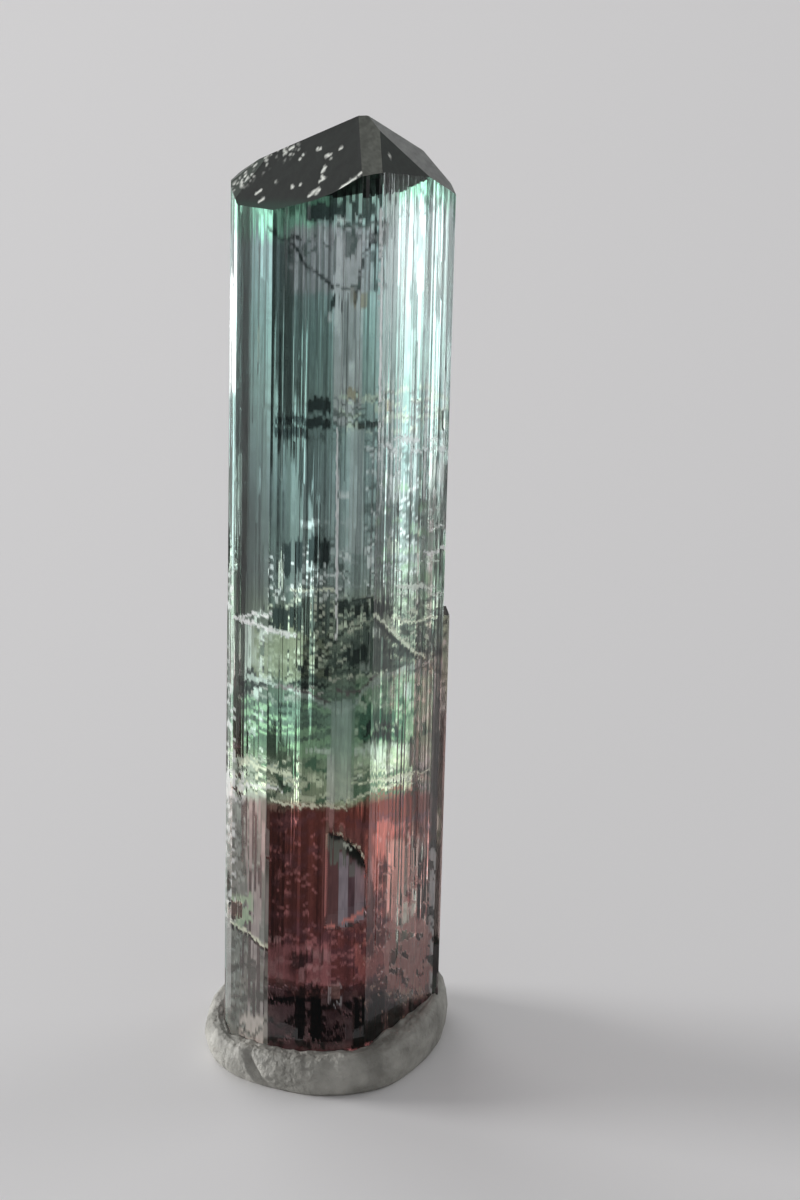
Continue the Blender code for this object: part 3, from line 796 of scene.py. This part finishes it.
def side_light(points, facing, strips):
    """The light that places of the sides let through: zones, streaks, grounds, patches and cracks."""
    rng = np.random.default_rng(SEED)
    x, y = in_photo(points)
    solid = np.zeros(len(x))
    level = points.copy()
    level[:, 1] = FRONT_Y
    level[:, 2] += INNER_FALL * step(-1.5, 4.0, points[:, 1])
    level_x, level_y = in_photo(level)
    level_y += np.interp(level_x, *ZONE_CLIMB)
    level_y = np.where(facing > 0.5, level_y, np.minimum(level_y, BACK_LOWEST))
    shift, show, tone, flash = (rng.random(int(strips.max()) + 1)[strips] for value in range(4))
    shift -= 0.5
    broad = drift(x / 14.0, y / 260.0, SEED)
    colour = zone_light(level_y + 2.0 * shift)

    def lay(light, mask, veiled=False):
        mask = (1.0 - (1.0 - np.clip(mask, 0.0, 1.0)) ** 2) * facing
        colour[:] = colour * (1.0 - mask)[:, None] + np.array(light) * mask[:, None]
        solid[:] = solid * (1.0 - mask) + mask * veiled

    # painted light and shade, column by column
    colour *= side_shading(x, y)[:, None]
    lay(FLANK_GREY, (1.0 - step(*FLANK_EDGE, x)) * step(*RED_FROM, level_y) * 0.9)
    # painted highlights, pale cyan, down the right side and along the left edge of the upper part
    lay(HIGHLIGHT_CYAN, band(x, *RIGHT_GLOW) * (1 - step(260, 360, y)) * 0.75)
    lay(HIGHLIGHT_CYAN, band(x, *LEFT_GLOW) * (1 - step(270, 360, y)) * 0.95)
    lay(RIB_BROWN, step(*RIB_EDGE, x) * step(*RIB_FROM, y) * 0.9)
    calm = 1.0 - 0.6 * band(y, *CALM_ROWS) * step(*CALM_EDGE, x)
    colour *= (1.0 + (0.45 * tone - 0.22) * calm)[:, None]
    colour *= (0.8 + 0.4 * broad)[:, None]
    # streaks along the strips: dark ones painted shade, pale ones painted highlights
    reach = drift(strips * 3.7, y / 120.0, SEED + 1)
    colour *= np.where((flash < DARK_STREAKS) & (reach > 0.35), 1.0 - STREAK * calm, 1.0)[:, None]
    colour *= np.where((flash > 1.0 - PALE_STREAKS) & (reach > 0.45), 1.0 + STREAK * calm, 1.0)[:, None]
    # just under the cap: a painted emerald glow of light on both sides, and painted near-black shade behind
    # the front edge, where the cap is seen from below
    below = y - np.interp(x, *zip(*CAP_LINE))
    glow = 1.0 - step(12.0, 34.0, below + 20.0 * shift)
    lay(EMERALD_GLOW, glow * (1 - band(x, 316, 396, 8)) * 0.75)
    ragged = drift(x / 2.2, y / 5.0, SEED + 10)
    rim = 1.0 - step(1.0, 5.0 + 9.0 * band(x, 300, 396, 20), below + 12.0 * shift + 8.0 * (ragged - 0.5))
    lay(DEEP_GREEN, rim * step(250, 275, x) * 0.9)
    for number, (x0, x1, y0, y1, wide, high, part, light, full, *veil) in enumerate(GROUNDS):
        cells = drift(x / wide, (y + 4.0 * shift) / max(high, 3.0), SEED + 20 + number)
        within = band(x, x0, x1, 2.0) * band(y + 5.0 * shift, y0, y1, 3.0)
        lay(light, within * step(part - 0.02, part + 0.04, cells) * full, bool(veil))
    ragged = 5.0 * (drift(x / 4.0, y / 4.0, SEED + 3) - 0.5)
    for x0, x1, y0, y1, light, full, breaks, share in PATCHES:
        inside_it = band(x, x0, x1, 1.0) * band(y + breaks * shift + 0.6 * ragged, y0, y1, 1.2)
        lay(light, inside_it * full * (show < share))
    broken = np.clip(0.4 + 1.5 * drift(x / 5.0, y / 5.0, SEED + 4), 0.0, 1.0)
    for half, full, light, corners in CRACKS:
        line = stroke(x + 0.4 * ragged, y + 2.5 * shift + 0.9 * ragged, corners, half)
        lay(light, line * full * broken, min(light) > 0.6)
    colour *= (0.80 + 0.40 * drift(x / 1.7 + strips * 0.31, y / 8.0, SEED + 12))[:, None]
    return colour, solid


def cap_light(points, tones):
    """The cap's colour: a tone for each face, with painted light and shade, then grain, freckles and pale
    specks.
    """
    x, y = in_photo(points)
    colour = tones * (0.75 + 0.5 * drift(x / 1.6, y / 1.6, SEED + 5))[:, None]
    colour *= (0.8 + 0.4 * drift((x + y) / 5.0, (y - 0.5 * x) / 20.0, SEED + 6))[:, None]
    dark = tones.max(1) < 0.03
    leafy = dark * step(196.0, 208.0, y) * (1 - step(300, 330, x))
    colour = colour * (1 - leafy[:, None]) + np.array((0.012, 0.035, 0.024)) * leafy[:, None]
    freckles = stroke(x, y, FRECKLE_LINE, 9.0) * step(0.70, 0.78, drift(x / 2.0, y / 2.0, SEED + 7))
    specks = freckles * 0.7
    for half, ax, ay, bx, by in CAP_SPECKS:
        specks = np.maximum(specks, stroke(x, y, ((ax, ay), (bx, by)), SPECK_SIZE * half))
    specks[tones[:, 0] == UNSEEN[0]] = 0.0
    return colour * (1 - specks[:, None]) + np.array(SPECK) * specks[:, None]


def paint(mesh, columns, grid, vert_rows, face_strips, side_count):
    """One colour for every corner of every face, so that each strip keeps its own tone up to its edge."""
    rows, count = grid.shape[:2]
    points = to_stand((grid + np.roll(grid, -1, 1)).reshape(-1, 3) / 2.0)
    outward = np.array([(*column[1], 0.0) for column in columns])
    view = np.array(CAMERA_AT) - points
    view /= np.linalg.norm(view, axis=1)[:, None]
    facing = step(-0.05, 0.12, (np.tile(outward, (rows, 1)) * view).sum(1))
    strips = np.tile(np.arange(count), rows)
    light, solid = side_light(points, facing, strips)
    light, solid = light.reshape(rows, count, 3), solid.reshape(rows, count)
    on_rib = np.array([column[2] for column in columns])
    on_rib |= np.roll(on_rib, -1)
    light[np.ix_((grid[:, 0, 2] < RIB_TOP - 0.01), on_rib)] = RIB_DARK
    corners, starts, totals = (
        read_ints(*what) for what in (
            (mesh.loops, "vertex_index"), (mesh.polygons, "loop_start"), (mesh.polygons, "loop_total"),
        )
    )
    places = mesh_places(mesh)
    centres = np.add.reduceat(places[corners], starts) / totals[:, None]
    faces = np.repeat(np.arange(len(totals)), totals)
    on_side = faces < side_count
    at_side = vert_rows[corners[on_side]], face_strips[faces[on_side]]
    planes = cap_heights(*centres[side_count:, :2].T).argmin(0)
    tones = np.array(list(CAP_FACE_SHADES.values()))[planes[faces[~on_side] - side_count]]
    rgba = np.ones((len(corners), 4), dtype=np.float32)
    rgba[on_side, :3] = light[at_side]
    rgba[~on_side, :3] = cap_light(to_stand(places[corners[~on_side]]), tones)
    rgba[:, :3] = np.clip(rgba[:, :3], 0.001, 1.0)
    tint = mesh.color_attributes.new("tint", "FLOAT_COLOR", "CORNER")
    tint.data.foreach_set("color", rgba.ravel())
    # where veils lie close under the surface, the face is cloudy rather than clear
    veiled = np.zeros(len(corners))
    veiled[on_side] = solid[at_side]
    veiled = np.add.reduceat(veiled, starts) / totals
    kinds = np.where(veiled > 0.5, SLOTS.index("veil"), SLOTS.index("tourmaline"))
    kinds[side_count:] = SLOTS.index("cap")
    for f in np.nonzero(centres[:side_count, 1] < BITE_NEARER)[0]:
        if bite_depth(centres[f, 0], centres[f, 2]) is not None:
            kinds[f] = SLOTS.index("recess")
    mesh.polygons.foreach_set("material_index", kinds.astype(np.int32))
    return planes


def roughen_cap(mesh, planes, side_count):
    """A satin relief on the cap, pits where its pale specks lie, and sharp edges between its faces."""
    places = mesh_places(mesh)
    flat = {}
    for number, plane in enumerate(planes):
        for v in mesh.polygons[side_count + number].vertices:
            flat.setdefault(v, set()).add(int(plane))
    inner = np.array([v for v, on in flat.items() if len(on) == 1])
    ring = np.zeros(len(places), dtype=bool)
    ring[list({v for p in mesh.polygons[:side_count] for v in p.vertices})] = True
    inner = inner[~ring[inner]]
    x, y = in_photo(to_stand(places[inner]))
    grain = drift(x / 2.6, y / 2.6, SEED + 8)
    grain += 0.6 * drift((x + y) / 3.0, (y - 0.5 * x) / 14.0, SEED + 9)
    relief = CAP_RELIEF * grain
    for half, ax, ay, bx, by in CAP_SPECKS:
        relief += SPECK_PIT * stroke(x, y, ((ax, ay), (bx, by)), half)
    places[inner, 2] -= relief
    set_places(mesh, places)
    sides = {}
    for number, plane in enumerate(planes):
        for edge in mesh.polygons[side_count + number].edge_keys:
            sides.setdefault(edge, set()).add(int(plane))
    sharp = {edge for edge, on in sides.items() if len(on) > 1}
    flags = mesh.attributes.new("sharp_edge", "BOOLEAN", "EDGE")
    for edge in mesh.edges:
        if edge.key in sharp:
            flags.data[edge.index].value = True


# The putty's shape

PUTTY_HEIGHT = 3.5
PUTTY_AROUND = 300
PUTTY_RINGS = 26
FOOTPRINT = (
    (9.1, 0.6), (9.0, 3.9), (7.2, 6.7), (3.6, 8.1), (-0.8, 8.3), (-5.2, 7.2), (-8.6, 4.4), (-9.8, 0.6),
    (-9.6, -2.9), (-8.2, -5.4), (-5.9, -7.1), (-2.4, -8.6), (0.2, -8.85), (3.0, -8.3), (5.4, -6.8),
    (8.0, -3.0),
)
PUTTY_SWELL = (-0.15, 0.12, 0.28, 0.32, 0.22, 0.05, -0.25, -0.7)
PUTTY_LEVEL = (0.0, 0.12, 0.30, 0.50, 0.70, 0.86, 0.97, 1.0)
LUMP_DEPTH = 0.17
LUMP_SIZE = 2.6
PIT_FROM = 0.48
FOLD_DEPTH = 0.34
FOLD_WIDTH = 0.035  # in radians round the lump, as the lip's place and its fall are
FOLD_LIP = 0.05  # where the raised side beside the fold is highest
FOLD_LIP_FALL = 0.22
FOLD_LIP_HEIGHT = 0.28
FOLD_BEARING = 230.5
FOLD_SLANT = -13.0
SOCKET_LEVEL = 1.0  # how high the underside of the pressed rim ends
PRESSED_STEPS = 7  # rings from the top of the rim in to the crystal
PRESSED_GAP = 0.03


def smooth_through(points, share):
    """A place on the closed smooth curve through the points, at a share of the way round."""
    count = len(points)
    at, along = divmod(share * count, 1.0)
    a, b, c, d = (Vector(points[(int(at) + k - 1) % count]) for k in range(4))
    bend = (2 * a - 5 * b + 4 * c - d) * along ** 2 + (3 * b - a - 3 * c + d) * along ** 3
    return 0.5 * (2 * b + (c - a) * along + bend)


def reach_of(outline, away):
    """How far the outline lies from the middle in a direction."""
    best = 0.0
    for a, b in zip(outline, np.roll(outline, -1, 0)):
        side = b - a
        across = away.x * side[1] - away.y * side[0]
        if abs(across) < 1e-9:
            continue
        share = (a[1] * away.x - a[0] * away.y) / -across
        if 0.0 <= share <= 1.0:
            best = max(best, (a[0] * side[1] - a[1] * side[0]) / across)
    return best


def putty_mesh(outline):
    """The lump with fine lumps, creases and pits, its rim pressed against the crystal."""
    verts = []
    for ring in range(PUTTY_RINGS + PRESSED_STEPS + 1):
        along = min(1.0, ring / (PUTTY_RINGS - 1))
        high = 1.0 - (1.0 - along) ** 1.5
        swell = float(np.interp(high, PUTTY_LEVEL, PUTTY_SWELL))
        inward = max(0.0, (ring - PUTTY_RINGS + 1) / PRESSED_STEPS)
        for k in range(PUTTY_AROUND):
            foot = smooth_through(FOOTPRINT, k / PUTTY_AROUND)
            away = foot.normalized()
            angle = math.atan2(foot.y, foot.x)
            crease = math.radians(FOLD_BEARING + FOLD_SLANT * (high - 0.5)) - angle % (2 * math.pi)
            spot = Vector((foot.x, foot.y, PUTTY_HEIGHT * high - 6.0 * inward)) / LUMP_SIZE
            lump = noise.noise(spot) + 0.5 * noise.noise(spot * 2.3) + 0.22 * noise.noise(spot * 6.0)
            lump += 0.16 * noise.noise(spot * 13.0)
            drawn = Vector((foot.x * 2.6, foot.y * 2.6, 0.7 * high))
            lump += 0.30 * noise.noise(drawn + Vector((0.0, 3.0, 1.0)))
            pit = max(0.0, noise.noise(spot * 4.2 + Vector((5.0, 2.0, 0.0))) - PIT_FROM)
            free = min(1.0, 4.0 * high)
            reach = swell + free * (LUMP_DEPTH * lump - 0.5 * pit)
            reach -= FOLD_DEPTH * free * math.exp(-((crease / FOLD_WIDTH) ** 2))
            beside = crease - FOLD_LIP
            fall = beside / FOLD_LIP_FALL if beside > 0.0 else (beside / FOLD_WIDTH) ** 2
            reach += FOLD_LIP_HEIGHT * free * math.exp(-fall)
            rim = 1.0 + 0.16 * math.cos(angle - 0.5) + 0.035 * math.sin(3.0 * angle + 1.0)
            place = foot + away * reach
            z = PUTTY_HEIGHT * high * rim
            if high > 0.5:
                uneven = 1.6 * noise.noise(spot * 1.6 + Vector((9.0, 0.0, 0.0))) + 0.5 * lump
                z += (high - 0.5) * LUMP_DEPTH * uneven
            if inward > 0.0:
                contact = away * (reach_of(outline, away) + PRESSED_GAP)
                place = place.lerp(contact, min(1.0, inward))
                ragged = 0.25 * noise.noise(Vector((foot.x * 1.1, foot.y * 1.1, 4.0)))
                z += inward * ragged - 0.1 * inward
            verts.append((place.x, place.y, z))
    verts += [(x, y, SOCKET_LEVEL) for x, y, z in verts[-PUTTY_AROUND:]]
    faces = []
    for r in range(len(verts) // PUTTY_AROUND - 1):
        for k in range(PUTTY_AROUND):
            a, j = r * PUTTY_AROUND + k, r * PUTTY_AROUND + (k + 1) % PUTTY_AROUND
            faces.append((a, j, j + PUTTY_AROUND, a + PUTTY_AROUND))
    faces.append(tuple(range(PUTTY_AROUND))[::-1])
    faces.append(tuple(range(len(verts) - PUTTY_AROUND, len(verts))))
    mesh = mesh_from("putty_lump", verts, faces)
    smooth = np.ones(len(mesh.polygons), dtype=bool)
    smooth[-2:] = False
    mesh.polygons.foreach_set("use_smooth", smooth)
    return mesh


# Materials

TOURMALINE_IOR = 1.62
ABSORBED = (0.70, 0.85, 0.80, 1.0)
ABSORPTION = 8.0  # per metre
CAP_SHEEN = 0.30
CLAY_TONES = ((0.235, 0.23, 0.205), (0.46, 0.45, 0.41))
CLAY_STOPS = (0.35, 0.68)
CLAY_GRAIN = (420.0, 5.0)  # cells per metre, and how many finer layers
CLAY_BUMPS = (1300.0, 6.0)
CLAY_RELIEF = 0.4 * MM
CLAY_ROUGHNESS = 0.62


def shader_nodes(name):
    mat = bpy.data.materials.new(name)
    mat.use_nodes = True
    tree = mat.node_tree
    return mat, tree, tree.nodes["Principled BSDF"]


def tinted(name, roughness, transmission, absorbs=False):
    """A material with the painted colour. Where it absorbs, depth dims the light a little."""
    mat, tree, shader = shader_nodes(name)
    tint = tree.nodes.new("ShaderNodeVertexColor")
    tint.layer_name = "tint"
    tree.links.new(tint.outputs["Color"], shader.inputs["Base Color"])
    shader.inputs["Roughness"].default_value = roughness
    if transmission:
        shader.inputs["IOR"].default_value = TOURMALINE_IOR
        shader.inputs["Transmission Weight"].default_value = transmission
    else:
        shader.inputs["Specular IOR Level"].default_value = CAP_SHEEN
    if absorbs:
        volume = tree.nodes.new("ShaderNodeVolumeAbsorption")
        volume.inputs["Color"].default_value = ABSORBED
        volume.inputs["Density"].default_value = ABSORPTION
        tree.links.new(volume.outputs["Volume"], tree.nodes["Material Output"].inputs["Volume"])
    return mat


def clay_material():
    """Dull putty: two tones in a fine grain, with a low relief of its own."""
    mat, tree, shader = shader_nodes("putty_clay")
    place = tree.nodes.new("ShaderNodeTexCoord")
    ramp = tree.nodes.new("ShaderNodeValToRGB")
    for stop, at, tone in zip(ramp.color_ramp.elements, CLAY_STOPS, CLAY_TONES):
        stop.position = at
        stop.color = (*tone, 1.0)
    raised = tree.nodes.new("ShaderNodeBump")
    raised.inputs["Strength"].default_value = 1.0
    raised.inputs["Distance"].default_value = CLAY_RELIEF
    for target, (scale, detail) in ((ramp.inputs["Fac"], CLAY_GRAIN), (raised.inputs["Height"], CLAY_BUMPS)):
        grain = tree.nodes.new("ShaderNodeTexNoise")
        grain.inputs["Scale"].default_value = scale
        grain.inputs["Detail"].default_value = detail
        tree.links.new(place.outputs["Object"], grain.inputs["Vector"])
        tree.links.new(grain.outputs["Fac"], target)
    tree.links.new(ramp.outputs["Color"], shader.inputs["Base Color"])
    tree.links.new(raised.outputs["Normal"], shader.inputs["Normal"])
    shader.inputs["Roughness"].default_value = CLAY_ROUGHNESS
    return mat


# Building the crystal

body_mesh, body_columns, body_grid, body_rows, body_strips, body_sides = crystal_mesh()
cap_planes = paint(body_mesh, body_columns, body_grid, body_rows, body_strips, body_sides)
roughen_cap(body_mesh, cap_planes, body_sides)
body_places = to_stand(mesh_places(body_mesh))
low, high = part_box("crystal")
middle = (body_places.min(0) + body_places.max(0)) / 2 * MM
SHIFT = Vector(((low.x + high.x) / 2 - middle[0], (low.y + high.y) / 2 - middle[1], 0.0))
set_places(body_mesh, body_places * MM + np.array(SHIFT))
body = new_object("crystal_body", body_mesh)
for name, (roughness, transmission) in SURFACES.items():
    body_mesh.materials.append(tinted(name, roughness, transmission, absorbs=name == "tourmaline"))
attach(body, "root")
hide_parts("crystal")

# Building the putty

foot_ring = np.array([
    (*(place + out * (RIB_PROUD if rib else 0.0)), 3.0) for place, out, rib, side, depth in body_columns
])
clay_mesh = putty_mesh(to_stand(foot_ring)[:, :2])
set_places(clay_mesh, mesh_places(clay_mesh) * MM + np.array(SHIFT))
clay = new_object("putty_lump", clay_mesh)
clay_mesh.materials.append(clay_material())
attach(clay, "root")
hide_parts("putty")

# The stage

FLOOR = 3  # half the paper's side, in metres
floor_corners = [(-FLOOR, -FLOOR, 0), (FLOOR, -FLOOR, 0), (FLOOR, FLOOR, 0), (-FLOOR, FLOOR, 0)]
floor_mesh = mesh_from("floor", floor_corners, [(0, 1, 2, 3)])
floor = new_object("floor", floor_mesh)
paper, paper_tree, paper_shader = shader_nodes("paper")
paper_shader.inputs["Base Color"].default_value = (0.82, 0.81, 0.81, 1.0)
paper_shader.inputs["Roughness"].default_value = 1.0
paper_shader.inputs["Specular IOR Level"].default_value = 0.0
floor_mesh.materials.append(paper)

world = bpy.data.worlds.new("studio")
bpy.context.scene.world = world
world.use_nodes = True
world.node_tree.nodes["Background"].inputs["Color"].default_value = (0.98, 0.98, 1.0, 1.0)
world.node_tree.nodes["Background"].inputs["Strength"].default_value = 0.345


CARD_LIFT = 0.3 * MM


def reflector(name, corners, glow, seen):
    """A card on the floor that only some rays see: those that pass through the crystal, or its shine."""
    mesh = mesh_from(name, [(x * MM, y * MM, CARD_LIFT) for x, y in corners], [tuple(range(len(corners)))])
    mat = bpy.data.materials.new(name)
    mat.use_nodes = True
    tree = mat.node_tree
    tree.nodes.clear()
    emit = tree.nodes.new("ShaderNodeEmission")
    emit.inputs["Color"].default_value = (*glow, 1.0)
    out = tree.nodes.new("ShaderNodeOutputMaterial")
    tree.links.new(emit.outputs["Emission"], out.inputs["Surface"])
    mesh.materials.append(mat)
    ob = new_object(name, mesh)
    ob.visible_camera = False
    ob.visible_diffuse = False
    ob.visible_glossy = "shine" in seen
    ob.visible_transmission = "through" in seen
    ob.visible_shadow = False


# Cards that light the crystal from behind and below, then those for the shine on its edges
reflector("right_card", [(13, -6), (400, -180), (420, 330), (30, 90)], (3.6, 3.75, 3.8), ("through",))
reflector("left_card", [(-13, -14), (-16, 40), (-400, 300), (-400, -120)], (2.2, 2.25, 2.25), ("through",))
FRONT_CARD = [(-300, -400), (300, -400), (60, -12), (-60, -12)]
reflector("front_card", FRONT_CARD, (0.06, 0.065, 0.065), ("through", "shine"))
reflector("edge_card_near", [(-12, 22), (-25, 14), (-110, 85), (-30, 138)], (0.45, 0.47, 0.45), ("shine",))
reflector("edge_card_far", [(-30, 138), (-110, 85), (-140, 106), (-36, 168)], (3.0, 3.0, 3.0), ("shine",))
reflector("glow_card_near", [(100, 18), (128, 22), (132, 70), (106, 66)], (3.2, 3.4, 3.4), ("shine",))
reflector("glow_card_far", [(128, -14), (165, -30), (175, 100), (132, 70)], (2.4, 2.6, 2.6), ("shine",))


def soft_light(name, at, size, power, aim=(0.0, 0.0, 0.04)):
    data = bpy.data.lights.new(name, "AREA")
    data.shape = "RECTANGLE"
    data.size, data.size_y = size
    data.energy = power
    ob = new_object(name, data)
    ob.location = at
    ob.rotation_euler = (Vector(aim) - Vector(at)).to_track_quat("-Z", "Y").to_euler()
    ob.visible_camera = False


soft_light("back_light", (-0.55, 0.9, 0.75), (0.9, 0.7), 3.3)
soft_light("right_light", (0.9, 0.35, 0.6), (0.5, 0.6), 1.4)
soft_light("left_light", (-0.75, 0.1, 0.38), (0.5, 0.4), 0.6)
soft_light("low_light", (-0.9, 0.16, 0.17), (0.3, 0.2), 8.0)

camera_data = bpy.data.cameras.new("camera")
camera_data.lens = LENS
camera_data.sensor_width = 36.0
camera_data.clip_start = 0.01
camera = new_object("camera", camera_data)
camera.location = Vector(CAMERA_AT) * MM + SHIFT
camera.rotation_euler = (math.radians(90.0 - CAMERA_DIP), 0.0, 0.0)
bpy.context.scene.camera = camera
bpy.context.scene.view_settings.view_transform = "Standard"
